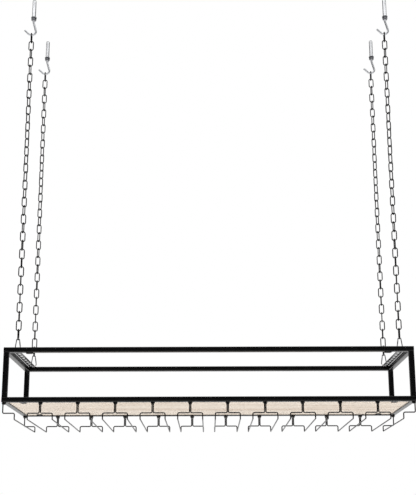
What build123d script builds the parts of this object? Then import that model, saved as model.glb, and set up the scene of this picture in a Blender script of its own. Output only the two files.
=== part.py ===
"""Hanging wine rack: a tube frame with a wooden shelf and wire glass hangers, hung on four chains.

Millimetres, +Z up, X along the rack, the front towards -Y. The origin is the centre of the four
ceiling anchors, at the face of the ceiling, and every level is worked out downwards from there.
"""

import os
from math import cos, pi, radians, sin, sqrt, tan

from build123d import *

# Frame, welded from square tube
frame_length = 1200.0
frame_depth = 330.0
frame_height = 162.0
tube_size = 15.0
tube_wall = 1.2
tube_corner = 1.2

# Slotted strips inside the top side rails, where the chains are hooked in
strip_width = 19.0
strip_thickness = 2.0
strip_slit = 2.0
slot_length = 20.0
slot_width = 9.0
slot_pitch = 32.0
slot_count = 9

# Shelf board and the tabs that carry it
board_thickness = 12.0
board_lift = 3.0
board_edge_gap = 0.5
tab_width = 17.0
tab_depth = 25.0
tab_thickness = 2.0
tab_inset = 58.0

# Oblong caps under the top front rail
cap_inset = 75.0
cap_length = 24.0
cap_width = 12.0
cap_height = 4.5
cap_corner = 4.0
cap_edge = 1.6
cap_stem_length = 14.0
cap_stem_width = 6.0
cap_stem_height = 5.0

# Glass hangers, bent from wire
hanger_count = 10
first_hanger_inset = 112.5
hanger_wire = 3.6
hanger_width = 72.0
hanger_drop = 32.0
hanger_rail_drop = 50.0
hanger_bend = 4.0
eye_width = 9.4
eye_straight = 2.6
eye_flare = 6.0
wire_gap = 0.2
end_hanger_inset = 7.0

# Screws
hanger_screw_head = 4.6
hanger_screw_head_height = 2.8
hanger_screw_shank = 2.4
hanger_screw_reach = 4.0
shelf_screw_head = 4.0
shelf_screw_head_height = 2.2
shelf_screw_shank = 2.0
shelf_screw_reach = 9.0

# Chains
link_count = 36
link_wire = 2.6
link_inner_length = 28.17
link_outer_width = 16.6
link_corner = 3.6
chain_twist_turns = 1

# Snap hooks
snap_wire = 3.0
snap_inner_length = 34.0
snap_bow_width = 19.0
snap_bow_flat = 8.2
snap_bow_corner = 2.9
snap_bow_rise = 8.0
snap_eye_width = 11.0
snap_eye_flat = 4.8
snap_eye_fall = 2.6
gate_start = 2.5
gate_end = 22.3
gate_width = 2.8
gate_thickness = 3.2
gate_web = 0.6
tongue_thickness = 1.2
tongue_length = 4.6
catch_length = 3.2
gate_pin_radius = 0.6
gate_pin_setback = 2.6

# Ceiling hooks and their anchors
hook_wire = 6.5
hook_bend_radius = 13.0
hook_reach = 5.0
hook_drop = 47.5
hook_entry_angle = 15.0
hook_exit_angle = 45.0
hook_tip_length = 19.0
shoulder_height = 4.5
shoulder_radius = 5.5
bolt_radius = 3.9
nut_height = 8.0
nut_across_flats = 14.0
washer_radius = 8.8
washer_thickness = 2.5
sleeve_radius = 6.0
sleeve_bore = 4.5
sleeve_length = 58.0
sleeve_mouth = 5.7
cone_grip = 3.5
cone_showing = 2.5

# Clearances
seat_gap = 0.3
bore_gap = 0.06
slip_gap = 0.15
weld_cut = 1.0

# Small round sections are drawn with flats, because there are so many of them. A link's wire has
# the area of the round one, and this is the distance from its middle to its flats.
link_flats = 3
link_inset = link_wire / 2 * sqrt(pi / (link_flats * tan(pi / link_flats)))
wire_flats = 4
rod_flats = 6
hook_flats = 8
hook_bend_steps = 3

# Levels, from the ceiling down. Each link hangs on the one above with the seat gap between them.
collar_bottom = -(washer_thickness + nut_height + shoulder_height)
hook_bottom = collar_bottom - hook_drop
top_link_z = hook_bottom + hook_wire / 2 + seat_gap - link_inner_length / 2
link_pitch = link_inner_length - seat_gap
last_link_z = top_link_z - (link_count - 1) * link_pitch
snap_eye_z = last_link_z - link_inner_length / 2 + seat_gap
snap_bow_z = snap_eye_z - snap_inner_length - snap_wire / 2
strip_bottom = snap_bow_z + snap_wire / 2 + seat_gap
frame_top = strip_bottom + strip_thickness
frame_bottom = frame_top - frame_height
board_bottom = frame_bottom + board_lift

# Places across the rack. Every ceiling hook opens to -X, so its chain hangs that side of the anchor.
rack_x = -hook_reach
inner_length = frame_length - 2 * tube_size
inner_depth = frame_depth - 2 * tube_size
rail_x = (frame_length - tube_size) / 2
rail_y = (frame_depth - tube_size) / 2
strip_x = inner_length / 2 - strip_slit - strip_width / 2
chain_x = strip_x - (strip_width + slot_width) / 4
chain_y = slot_pitch * (slot_count - 1) / 2
screw_y = inner_depth / 2 + hanger_screw_head + seat_gap
stem_y = screw_y + hanger_screw_head + seat_gap + hanger_wire / 2
stem_x = (hanger_wire + wire_gap) / 2
hanger_pitch = (frame_length - 2 * first_hanger_inset) / (hanger_count - 1)
hanger_places = [rack_x + (i - (hanger_count - 1) / 2) * hanger_pitch for i in range(hanger_count)]
end_hanger_places = [rack_x - frame_length / 2 + end_hanger_inset, rack_x + frame_length / 2 - end_hanger_inset]

side_signs = {"left": -1, "right": 1}
end_signs = {"front": -1, "rear": 1}
corners = [(f"{end}_{side}", side_signs[side], end_signs[end]) for end in end_signs for side in side_signs]


def save(builder, name):
    """Names a finished piece and writes it to its own file."""
    builder.part.label = name
    export_step(builder.part, f"parts/{name}.step")


def polar(centre, radius, angle):
    """The point at a radius and an angle in degrees from a centre, in its own plane."""
    return (centre[0] + radius * cos(radians(angle)), centre[1] + radius * sin(radians(angle)))


def mitred_tube(length, centre, along, inward):
    """A square tube cut at 45 degrees at both ends, its short side facing inward."""
    with BuildPart() as tube:
        with BuildSketch(Plane(origin=centre, x_dir=inward, z_dir=along)) as section:
            Rectangle(tube_size, tube_size)
            chamfer(section.vertices(), tube_corner)
            Rectangle(tube_size - 2 * tube_wall, tube_size - 2 * tube_wall, mode=Mode.SUBTRACT)
        extrude(amount=length / 2, both=True)
        for way in (-1, 1):
            end_corner = Vector(centre) + Vector(along) * way * length / 2 - Vector(inward) * tube_size / 2
            outward = Vector(along) * way + Vector(inward)
            split(bisect_by=Plane(origin=end_corner, z_dir=outward), keep=Keep.BOTTOM)
    return tube.part


def flat_sided(radius, flats):
    """A polygon drawn round a circle of that radius, one of its flats facing +Y."""
    RegularPolygon(radius, flats, major_radius=False, rotation=90 - 180 / flats)


def swept_wire(points, section_plane, size, flats=wire_flats, closed=False):
    """A wire of polygon section, its flats half the size from the path, mitred at each point."""
    with BuildPart() as wire:
        with BuildLine() as path:
            Polyline(*points, close=closed)
        with BuildSketch(section_plane):
            flat_sided(size / 2, flats)
        sweep(path=path.wire(), transition=Transition.RIGHT)
    return wire.part


os.makedirs("parts", exist_ok=True)

# Frame: a mitred rectangle at the top and one at the bottom, with a post between them at each corner
for level, z in (("top", frame_top - tube_size / 2), ("bottom", frame_bottom + tube_size / 2)):
    for end, sign in end_signs.items():
        with BuildPart() as rail:
            add(mitred_tube(frame_length, (rack_x, sign * rail_y, z), (1, 0, 0), (0, -sign, 0)))
            if level == "bottom":
                with BuildSketch(Plane.XY.offset(frame_bottom)):
                    with Locations([(x, sign * screw_y) for x in hanger_places + end_hanger_places]):
                        RegularPolygon(hanger_screw_shank + bore_gap, wire_flats)
                extrude(amount=tube_wall, mode=Mode.SUBTRACT)
            elif end == "front":
                with BuildSketch(Plane.XY.offset(frame_top - tube_size)):
                    with Locations((rack_x, sign * rail_y)):
                        with GridLocations(frame_length - 2 * cap_inset, 0, 2, 1):
                            Rectangle(cap_stem_length + 2 * slip_gap, cap_stem_width + 2 * slip_gap)
                extrude(amount=tube_wall, mode=Mode.SUBTRACT)
        save(rail, f"{level}_{end}_rail")
    for side, sign in side_signs.items():
        with BuildPart() as rail:
            add(mitred_tube(frame_depth, (rack_x + sign * rail_x, 0, z), (0, 1, 0), (-sign, 0, 0)))
            if level == "bottom":
                with BuildSketch(Plane.XY.offset(frame_bottom)):
                    with Locations([(x, way * screw_y) for x in end_hanger_places for way in (-1, 1)]):
                        RegularPolygon(hanger_screw_shank + bore_gap, wire_flats)
                extrude(amount=tube_wall, mode=Mode.SUBTRACT)
        save(rail, f"{level}_{side}_rail")

for corner, side, end in corners:
    with BuildPart() as post:
        with BuildSketch(Plane.XY.offset(frame_bottom + tube_size)) as section:
            with Locations((rack_x + side * rail_x, end * rail_y)):
                Rectangle(tube_size, tube_size)
            chamfer(section.vertices(), tube_corner)
            with Locations((rack_x + side * rail_x, end * rail_y)):
                Rectangle(tube_size - 2 * tube_wall, tube_size - 2 * tube_wall, mode=Mode.SUBTRACT)
        extrude(amount=frame_height - 2 * tube_size)
    save(post, f"{corner}_post")

# Caps: oblong heads under the top front rail, each on a stem that is pushed into the tube
with BuildPart() as caps:
    with BuildSketch(Plane.XY.offset(frame_top - tube_size)) as heads:
        with Locations((rack_x, -rail_y)):
            with GridLocations(frame_length - 2 * cap_inset, 0, 2, 1):
                Rectangle(cap_length, cap_width)
        chamfer(heads.vertices(), cap_corner)
    extrude(amount=-cap_height)
    chamfer(caps.faces().group_by(Axis.Z)[0].edges(), cap_edge)
    with BuildSketch(Plane.XY.offset(frame_top - tube_size)):
        with Locations((rack_x, -rail_y)):
            with GridLocations(frame_length - 2 * cap_inset, 0, 2, 1):
                Rectangle(cap_stem_length, cap_stem_width)
    extrude(amount=cap_stem_height)
save(caps, "guard_rail_caps")

# Slotted strips: flat bars welded between the front and rear rails
for side, sign in side_signs.items():
    with BuildPart() as strip:
        with BuildSketch(Plane.XY.offset(strip_bottom)):
            with Locations((rack_x + sign * strip_x, 0)):
                Rectangle(strip_width, inner_depth)
        extrude(amount=strip_thickness)
        with BuildSketch(Plane.XY.offset(strip_bottom)):
            with Locations((rack_x + sign * strip_x, 0)):
                with GridLocations(0, slot_pitch, 1, slot_count):
                    Rectangle(slot_width, slot_length)
        extrude(amount=strip_thickness, mode=Mode.SUBTRACT)
    save(strip, f"{side}_slotted_strip")

# Shelf: a board on four welded tabs, with a screw up through each tab
tab_y = (inner_depth - tab_depth) / 2
tab_grid = (frame_length - 2 * tab_inset, 2 * tab_y, 2, 2)

with BuildPart() as board:
    with BuildSketch(Plane.XY.offset(board_bottom)):
        with Locations((rack_x, 0)):
            Rectangle(inner_length - 2 * board_edge_gap, inner_depth - 2 * board_edge_gap)
    extrude(amount=board_thickness)
    with BuildSketch(Plane.XY.offset(board_bottom)):
        with Locations((rack_x, 0)):
            with GridLocations(*tab_grid):
                RegularPolygon(shelf_screw_shank + bore_gap, wire_flats)
    extrude(amount=shelf_screw_reach + seat_gap, mode=Mode.SUBTRACT)
save(board, "shelf_board")

with BuildPart() as tabs:
    with BuildSketch(Plane.XY.offset(board_bottom)):
        with Locations((rack_x, 0)):
            with GridLocations(*tab_grid):
                Rectangle(tab_width, tab_depth)
                RegularPolygon(shelf_screw_shank + slip_gap, wire_flats, mode=Mode.SUBTRACT)
    extrude(amount=-tab_thickness)
save(tabs, "shelf_tabs")

with BuildPart() as shelf_screws:
    with BuildSketch(Plane.XY.offset(board_bottom - tab_thickness)):
        with Locations((rack_x, 0)):
            with GridLocations(*tab_grid):
                RegularPolygon(shelf_screw_head, rod_flats)
    extrude(amount=-shelf_screw_head_height)
    with BuildSketch(Plane.XY.offset(board_bottom - tab_thickness)):
        with Locations((rack_x, 0)):
            with GridLocations(*tab_grid):
                RegularPolygon(shelf_screw_shank, wire_flats)
    extrude(amount=tab_thickness + shelf_screw_reach)
save(shelf_screws, "shelf_screws")

# Glass hangers: from the eye round its screw, down the stem, out along the plateau, down the leg,
# and back along the rail to the same bends at the other end
eye_z = frame_bottom - hanger_wire / 2
eye_x = eye_width / 2
eye_y = screw_y - eye_x
plateau_z = frame_bottom - hanger_drop
rail_z = frame_bottom - hanger_rail_drop
rail_offset = hanger_width / 2


def hanger_end(stem_side, rail_side):
    """Points of the front bends, from the middle of the eye to the rail, about the screw's axis."""
    rail = rail_side * rail_offset + (stem_side - rail_side) * stem_x
    return [
        (stem_side * eye_x, -eye_y, eye_z),
        (stem_side * eye_x, -stem_y, eye_z),
        (stem_side * eye_x, -stem_y, eye_z - eye_straight),
        (stem_side * stem_x, -stem_y, eye_z - eye_flare),
        (stem_side * stem_x, -stem_y, plateau_z),
        (rail - rail_side * hanger_bend, -stem_y, plateau_z),
        (rail, -stem_y, plateau_z - hanger_bend),
        (rail, -stem_y, rail_z),
    ]


def hanger_half(x, stem_side, rail_side):
    """One wire of a hanger whose screws are at x, from the front eye to the rear one."""
    front = [(x + px, py, pz) for px, py, pz in hanger_end(stem_side, rail_side)]
    return front + [(px, -py, pz) for px, py, pz in reversed(front)]


for number, x in enumerate(hanger_places, start=1):
    loop = hanger_half(x, 1, 1) + hanger_half(x, -1, -1)[::-1]
    with BuildPart() as hanger:
        start = Plane(origin=loop[0], x_dir=(0, 1, 0), z_dir=(1, 0, 0))
        add(swept_wire(loop, start, hanger_wire, closed=True))
    save(hanger, f"glass_hanger_{number:02d}")

for (side, sign), x in zip(side_signs.items(), end_hanger_places):
    run = hanger_half(x, sign, -sign)
    free_end = [(x - sign * eye_x, -stem_y, eye_z), (x - sign * eye_x, -eye_y, eye_z)]
    tail = [(px, -py, pz) for px, py, pz in reversed(free_end)]
    with BuildPart() as hanger:
        start = Plane(origin=free_end[0], x_dir=(1, 0, 0), z_dir=(0, 1, 0))
        add(swept_wire(free_end + run + tail, start, hanger_wire))
    save(hanger, f"end_hanger_{side}")

with BuildPart() as hanger_screws:
    screw_places = [(x, sign * screw_y) for x in hanger_places + end_hanger_places for sign in (-1, 1)]
    with BuildSketch(Plane.XY.offset(frame_bottom - hanger_wire)):
        with Locations(screw_places):
            RegularPolygon(hanger_screw_head, rod_flats)
    extrude(amount=-hanger_screw_head_height)
    with BuildSketch(Plane.XY.offset(frame_bottom - hanger_wire)):
        with Locations(screw_places):
            RegularPolygon(hanger_screw_shank, wire_flats)
    extrude(amount=hanger_wire + hanger_screw_reach)
save(hanger_screws, "hanger_screws")

# One straight link, upright in the XZ plane about its own centre, a flat of its wire facing inward
link_x = link_outer_width / 2 - link_inset / cos(pi / link_flats)
link_z = link_inner_length / 2 + link_inset
quarter = [(link_x, link_z - link_corner), (link_x - link_corner, link_z)]
upper = quarter + [(-x, z) for x, z in reversed(quarter)]
outline = [(x, 0, z) for x, z in upper] + [(x, 0, -z) for x, z in reversed(upper)]
link = swept_wire(
    [(link_x, 0, 0)] + outline,
    Plane(origin=(link_x, 0, 0), x_dir=(0, 1, 0), z_dir=(0, 0, 1)),
    2 * link_inset,
    link_flats,
    closed=True,
)

# Chains: the top link stands across its hook, and each one below is turned a little over 90 degrees
# further, so that the last one stands across the snap hook
link_turn = 90 + (90 + 180 * (chain_twist_turns - 1)) / (link_count - 1)
for corner, side, end in corners:
    hang = (rack_x + side * chain_x, end * chain_y)
    places = [
        Location((*hang, top_link_z - i * link_pitch), (0, 0, 90 + side * i * link_turn))
        for i in range(link_count)
    ]
    with BuildPart() as top_link:
        with Locations(places[0]):
            add(link)
    save(top_link, f"top_link_{corner}")
    with BuildPart() as chain:
        with Locations(places[1:]):
            add(link)
    save(chain, f"chain_{corner}")

# Snap hooks: a pear of wire through the slot and round the strip's edge, its gate on the room side.
# Each is drawn in its own upright plane, with x towards the room and y up from the bow.
bow_x = (snap_bow_width - snap_wire) / 2
pear_eye_x = (snap_eye_width - snap_wire) / 2
pear_top = snap_inner_length + snap_wire
gate_foot = Vector(bow_x, snap_bow_rise)
gate_line = Vector(pear_eye_x, pear_top - snap_eye_fall) - gate_foot
gate_up = gate_line.normalized()
solid_side = [
    (bow_x, snap_bow_rise),
    (snap_bow_flat / 2 + snap_bow_corner, snap_bow_corner),
    (snap_bow_flat / 2, 0),
    (-snap_bow_flat / 2, 0),
    (-snap_bow_flat / 2 - snap_bow_corner, snap_bow_corner),
    (-bow_x, snap_bow_rise),
    (-pear_eye_x, pear_top - snap_eye_fall),
    (-snap_eye_flat / 2, pear_top),
    (snap_eye_flat / 2, pear_top),
    (pear_eye_x, pear_top - snap_eye_fall),
]
pin_place = gate_end - gate_pin_setback
tongue_swing = sqrt((tongue_length - gate_pin_setback) ** 2 + (gate_width / 2) ** 2)
slot_floor = pin_place - tongue_swing - slip_gap

for corner, side, end in corners:
    bow = (rack_x + side * chain_x, end * chain_y, snap_bow_z)
    pear = Plane(origin=bow, x_dir=(-side, 0, 0), z_dir=(0, side, 0))
    gate_plane = Plane(
        origin=pear.from_local_coords(gate_foot),
        x_dir=pear.x_dir * gate_up.X + pear.y_dir * gate_up.Y,
        z_dir=pear.z_dir,
    )
    ends_of_wire = [gate_plane.from_local_coords((t, 0)) for t in (gate_start, gate_end)]
    route = [ends_of_wire[0]] + [pear.from_local_coords(p) for p in solid_side] + [ends_of_wire[1]]

    with BuildPart() as snap_hook:
        add(swept_wire(route, Plane(route[0], x_dir=pear.z_dir, z_dir=route[1] - route[0]), snap_wire))
        with BuildSketch(gate_plane):
            with Locations((gate_end - tongue_length, 0)):
                Rectangle(tongue_length + weld_cut, gate_width, align=(Align.MIN, Align.CENTER))
            with Locations((gate_start - weld_cut, -gate_width / 2)):
                catch_width = gate_width - gate_web - slip_gap
                Rectangle(catch_length + weld_cut, catch_width, align=(Align.MIN, Align.MIN))
        extrude(amount=tongue_thickness / 2, both=True)
        with BuildSketch(gate_plane):
            with Locations((pin_place, 0)):
                RegularPolygon(gate_pin_radius + bore_gap, hook_flats, major_radius=False)
        extrude(amount=gate_thickness, both=True, mode=Mode.SUBTRACT)
    save(snap_hook, f"snap_hook_{corner}")

    with BuildPart() as gate:
        with BuildSketch(gate_plane):
            with Locations((gate_start + seat_gap, 0)):
                gate_length = pin_place + gate_width / 2 - gate_start - seat_gap
                Rectangle(gate_length, gate_width, align=(Align.MIN, Align.CENTER))
        extrude(amount=gate_thickness / 2, both=True)
        with BuildSketch(gate_plane):
            with Locations((slot_floor, 0)):
                Rectangle(gate_end - slot_floor, gate_width, align=(Align.MIN, Align.CENTER))
            with Locations((gate_start, -gate_width / 2)):
                Rectangle(catch_length + seat_gap, gate_width - gate_web, align=(Align.MIN, Align.MIN))
        extrude(amount=tongue_thickness / 2 + slip_gap, both=True, mode=Mode.SUBTRACT)
        with BuildSketch(gate_plane):
            with Locations((pin_place, 0)):
                RegularPolygon(gate_pin_radius, hook_flats, major_radius=False)
        extrude(amount=gate_thickness, both=True, mode=Mode.SUBTRACT)
    save(gate, f"gate_{corner}")

    with BuildPart() as gate_pin:
        with BuildSketch(gate_plane):
            with Locations((pin_place, 0)):
                Circle(gate_pin_radius)
        extrude(amount=gate_thickness / 2, both=True)
    save(gate_pin, f"gate_pin_{corner}")

# Ceiling hooks: threaded up to the cone, with a shoulder under the nut and an open bend below it.
# The bend is drawn by the lines that touch its arc, one of them level at the bottom as the seat.
cone_top = sleeve_length + cone_showing
arc_centre = (-hook_reach, hook_bottom + hook_bend_radius)
entry_fall = (hook_entry_angle + 90) / hook_bend_steps
touching = [hook_entry_angle - i * entry_fall for i in range(hook_bend_steps + 1)]
touching += [-90 - hook_exit_angle / 2, -90 - hook_exit_angle]
bend_corners = [
    polar(arc_centre, hook_bend_radius / cos(radians((a - b) / 2)), (a + b) / 2)
    for a, b in zip(touching, touching[1:])
]
neck = (0, bend_corners[0][1] + bend_corners[0][0] / tan(radians(hook_entry_angle)))
tip = polar(polar(arc_centre, hook_bend_radius, touching[-1]), hook_tip_length, 180 - hook_exit_angle)
anchor_places = [(side * chain_x, end * chain_y) for _, side, end in corners]

for corner, side, end in corners:
    x, y = side * chain_x, end * chain_y
    shoulder_top = collar_bottom + shoulder_height
    upright = Plane(origin=(x, y, 0), x_dir=(1, 0, 0), z_dir=(0, -1, 0))
    route = [upright.from_local_coords(point) for point in [(0, collar_bottom), neck, *bend_corners, tip]]
    with BuildPart() as hook:
        add(swept_wire(route, Plane(route[0], x_dir=(0, 1, 0), z_dir=(0, 0, -1)), hook_wire, hook_flats))
        with BuildSketch(Plane((x, y, collar_bottom))):
            flat_sided(hook_wire / 2, hook_flats)
        with BuildSketch(Plane((x, y, shoulder_top))):
            flat_sided(shoulder_radius, hook_flats)
        loft()
        with BuildSketch(Plane((x, y, shoulder_top))):
            RegularPolygon(bolt_radius, rod_flats)
        extrude(amount=cone_top - shoulder_top)
    save(hook, f"ceiling_hook_{corner}")

# Anchors: a washer and nut below the ceiling, and above it a sleeve that the cone spreads
with BuildPart() as washers:
    with BuildSketch():
        with Locations(anchor_places):
            RegularPolygon(washer_radius, hook_flats)
            RegularPolygon(bolt_radius + seat_gap, rod_flats, mode=Mode.SUBTRACT)
    extrude(amount=-washer_thickness)
save(washers, "anchor_washers")

with BuildPart() as nuts:
    with BuildSketch(Plane.XY.offset(-washer_thickness)):
        with Locations(anchor_places):
            RegularPolygon(nut_across_flats / 2, rod_flats, major_radius=False)
            RegularPolygon(bolt_radius + bore_gap, rod_flats, mode=Mode.SUBTRACT)
    extrude(amount=-nut_height)
save(nuts, "anchor_nuts")

with BuildPart() as sleeves:
    with BuildSketch():
        with Locations(anchor_places):
            Circle(sleeve_radius)
            RegularPolygon(sleeve_bore, rod_flats, mode=Mode.SUBTRACT)
    extrude(amount=sleeve_length)
    for x, y in anchor_places:
        with BuildSketch(Plane((x, y, sleeve_length - cone_grip))):
            RegularPolygon(sleeve_bore, rod_flats)
        with BuildSketch(Plane((x, y, sleeve_length))):
            RegularPolygon(sleeve_mouth, rod_flats)
        loft(mode=Mode.SUBTRACT)
save(sleeves, "anchor_sleeves")

with BuildPart() as cones:
    for x, y in anchor_places:
        with BuildSketch(Plane((x, y, sleeve_length - cone_grip + seat_gap))):
            RegularPolygon(sleeve_bore - slip_gap, rod_flats)
        with BuildSketch(Plane((x, y, sleeve_length + seat_gap))):
            RegularPolygon(sleeve_mouth - slip_gap, rod_flats)
        loft()
        with BuildSketch(Plane((x, y, sleeve_length + seat_gap))):
            RegularPolygon(sleeve_mouth - slip_gap, rod_flats)
        extrude(amount=cone_showing - seat_gap)
        with BuildSketch(Plane((x, y, 0))):
            RegularPolygon(bolt_radius + bore_gap, rod_flats)
        extrude(amount=cone_top, mode=Mode.SUBTRACT)
save(cones, "anchor_cones")
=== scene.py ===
"""Hanging wine rack: the finished tubes, wires, chains, hooks and board, laid over the rack's solids.

Everything is in metres, with +Z up, X along the rack and the front towards -Y, as in the model that is
loaded below. Each piece takes its place from the solid that it stands for.
"""

from math import cos, pi, radians, sin, tan

import bpy
import numpy as np
from bpy.props import FloatProperty, FloatVectorProperty, IntProperty, PointerProperty
from mathutils import Matrix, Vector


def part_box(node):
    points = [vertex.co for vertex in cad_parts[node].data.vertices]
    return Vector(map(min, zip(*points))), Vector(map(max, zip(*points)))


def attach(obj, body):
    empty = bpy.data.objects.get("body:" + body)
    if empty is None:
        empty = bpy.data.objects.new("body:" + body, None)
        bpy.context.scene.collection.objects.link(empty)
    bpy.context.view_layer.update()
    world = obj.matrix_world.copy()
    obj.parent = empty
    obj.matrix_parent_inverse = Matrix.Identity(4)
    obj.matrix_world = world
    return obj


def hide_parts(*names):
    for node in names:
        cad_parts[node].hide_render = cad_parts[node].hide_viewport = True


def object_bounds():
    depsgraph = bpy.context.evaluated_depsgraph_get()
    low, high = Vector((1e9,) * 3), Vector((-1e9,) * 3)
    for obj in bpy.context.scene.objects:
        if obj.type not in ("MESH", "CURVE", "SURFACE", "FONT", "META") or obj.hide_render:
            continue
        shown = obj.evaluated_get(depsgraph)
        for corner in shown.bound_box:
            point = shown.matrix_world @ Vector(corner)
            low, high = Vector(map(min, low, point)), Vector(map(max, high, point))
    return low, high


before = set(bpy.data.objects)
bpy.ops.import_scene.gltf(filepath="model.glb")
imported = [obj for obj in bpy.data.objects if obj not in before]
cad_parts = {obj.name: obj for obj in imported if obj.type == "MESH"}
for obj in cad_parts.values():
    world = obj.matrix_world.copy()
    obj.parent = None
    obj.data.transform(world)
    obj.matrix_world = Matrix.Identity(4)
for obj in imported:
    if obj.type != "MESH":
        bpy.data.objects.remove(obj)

bl_info = {
    "name": "Hanging Wine Rack",
    "version": (1, 0, 0),
    "blender": (4, 5, 0),
    "location": "3D View > Sidebar > Wine Rack",
    "description": "Builds the finished pieces of a hanging wine rack over its solids",
    "category": "Object",
}

SOLIDS_BOX = [list(corner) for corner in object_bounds()]

SIDES = {"left": -1, "right": 1}
ENDS = {"front": -1, "rear": 1}
CORNERS = [(f"{end}_{side}", SIDES[side], ENDS[end]) for end in ENDS for side in SIDES]

# Gaps between the pieces, as in the solids: where one hangs or rests on another, and where one slides
SEAT_GAP = 0.0003
SLIP_GAP = 0.00015

# How far the end of a rod, a tongue or a catch reaches into what carries it
ROOT = 0.001

# The photograph's frame, and the camera found from the corners of the tube frame in it. Angles are in
# degrees, and the shifts in pixels of that frame.
PICTURE_HEIGHT = 495
SENSOR_WIDTH = 36.0
FOCAL_LENGTH = 67.37
CAMERA_PLACE = (-0.005, -2.8189, -1.64555)
CAMERA_PITCH = 12.98
CAMERA_ROLL = -0.17
SHIFT_RIGHT = -0.74
SHIFT_UP = 79.0

# The sky's profile. The first three give the height of a direction at which its light starts to change
# and at which it has changed, and the last the direction's y, as it turns towards the camera.
HORIZON = (-0.02, 0.0)
FRONT_RISE = (0.42, 0.5)
REAR_RISE = (0.65, 0.75)
FRONT_TURN = (-0.05, -0.3)


# Skins. A skin is its points and its faces, the faces as arrays with one row of corners for each face.

def unit(vectors):
    """Each vector over its own length."""
    return vectors / np.linalg.norm(vectors, axis=-1, keepdims=True)


def outward(points, faces):
    """The skin with its faces turned outwards.

    The space inside is the sum of dot(a, cross(b, c)) / 6 over the triangles of each face's fan. It comes
    out negative where the faces point inwards, and then each row of corners is reversed.
    """
    space = 0.0
    for rows in faces:
        first, second, third = points[rows[:, :1]], points[rows[:, 1:-1]], points[rows[:, 2:]]
        space += (first * np.cross(second, third)).sum()
    return points, faces if space > 0 else [rows[:, ::-1] for rows in faces]


def tube_of(rings, closed=False):
    """The skin over a stack of rings: a band between each ring and the next, and a face over each end."""
    count, around = rings.shape[:2]
    at = np.arange(count * around).reshape(count, around)
    ends = [] if closed else [at[:1, ::-1], at[-1:]]
    at = np.vstack([at, at[:1]]) if closed else at
    near, far = at[:-1], at[1:]
    band = np.stack([near, np.roll(near, -1, 1), np.roll(far, -1, 1), far], -1).reshape(-1, 4)
    return outward(rings.reshape(-1, 3), [band] + ends)


def bent_path(corners, radii, steps=7, closed=False):
    """Points along straight runs joined by arcs.

    At a corner, a is the direction of the run that comes in and b that of the run that goes out. The arc's
    centre lies towards b - a, at the radius over the cosine of half the turn, and its point at the angle s
    from the middle of the turn is centre + radius * (sin(s) * unit(a + b) - cos(s) * unit(b - a)). Points
    that fall together are kept once.
    """
    corners = np.asarray(corners, float)
    radii = np.broadcast_to(np.asarray(radii, float), len(corners))
    before, after = np.roll(corners, 1, 0), np.roll(corners, -1, 0)
    bends = slice(None) if closed else slice(1, -1)
    before, at, after, radii = before[bends], corners[bends], after[bends], radii[bends, None, None]
    a, b = unit(at - before), unit(after - at)
    half = np.arccos(np.clip((a * b).sum(1), -1, 1))[:, None, None] / 2
    inward, along = unit(b - a)[:, None], unit(a + b)[:, None]
    angles = half * np.linspace(-1, 1, steps)[:, None]
    centre = at[:, None] + inward * radii / np.cos(half)
    points = (centre + radii * (np.sin(angles) * along - np.cos(angles) * inward)).reshape(-1, 3)
    points = points if closed else np.vstack([corners[:1], points, corners[-1:]])
    gaps = np.linalg.norm(points - np.roll(points, 1, 0), axis=1)
    gaps[0] = gaps[0] if closed else 1
    return points[gaps > 1e-6]


def wire(path, thickness, sides=10, closed=False, across=(1, 1, 1), ease=0.15, end_rings=4):
    """A round wire along a path.

    The ring at a point is point + r * (cos(a) * n + sin(a) * m), with n square to the path and to the
    direction across, and m square to the path and to n. At an open end r falls along a quarter circle,
    whose radius is ease times the thickness.
    """
    after, before = np.roll(path, -1, 0), np.roll(path, 1, 0)
    radius = np.broadcast_to(np.asarray(thickness, float) / 2, len(path))
    if not closed:
        after[-1], before[0] = path[-1], path[0]
    tangent = unit(after - before)
    if not closed:
        turn = np.linspace(0, pi / 2, end_rings)[:, None]
        soft = ease * 2 * radius[0]
        inward, fall = soft * (1 - np.cos(turn)), soft * (1 - np.sin(turn[:, 0]))
        start, end = path[0] + tangent[0] * inward, path[-1] - tangent[-1] * inward[::-1]
        path = np.vstack([start, path[1:-1], end])
        tangent = np.vstack([tangent[[0] * end_rings], tangent[1:-1], tangent[[-1] * end_rings]])
        radius = np.concatenate([radius[0] - fall, radius[1:-1], radius[-1] - fall[::-1]])
    n = unit(np.cross(tangent, across))
    m = np.cross(n, tangent)
    a = np.linspace(0, 2 * pi, sides, endpoint=False)[:, None]
    rings = path[:, None] + radius[:, None, None] * (np.cos(a) * n[:, None] + np.sin(a) * m[:, None])
    return tube_of(rings, closed)


def turned(radii, levels, angles, closed=False):
    """A skin turned about Z: the point of a ring at the angle a is (r cos(a), r sin(a), level)."""
    radii = np.asarray(radii, float)
    radii = radii if radii.ndim == 2 else radii[:, None] + 0 * angles
    levels = np.asarray(levels, float)[:, None] + 0 * angles
    return tube_of(np.stack([radii * np.cos(angles), radii * np.sin(angles), levels], -1), closed)


def round_angles(sides):
    """Evenly spaced angles round a circle."""
    return np.linspace(0, 2 * pi, sides, endpoint=False)


def rounded_rectangle(width, depth, corner, steps=5):
    """An outline made of four quarter arcs, about the points (+-(width / 2 - r), +-(depth / 2 - r))."""
    angles = (np.arange(4)[:, None] * pi / 2 + np.linspace(0, pi / 2, steps)).ravel()
    signs = np.repeat([[1, 1], [-1, 1], [-1, -1], [1, -1]], steps, axis=0)
    centres = signs * [width / 2 - corner, depth / 2 - corner]
    return centres + corner * np.stack([np.cos(angles), np.sin(angles)], 1)


def stacked(outlines, levels):
    """The skin over outlines in plan, each laid at its own level."""
    return tube_of(np.array([np.column_stack([o, np.full(len(o), z)]) for o, z in zip(outlines, levels)]))


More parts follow.
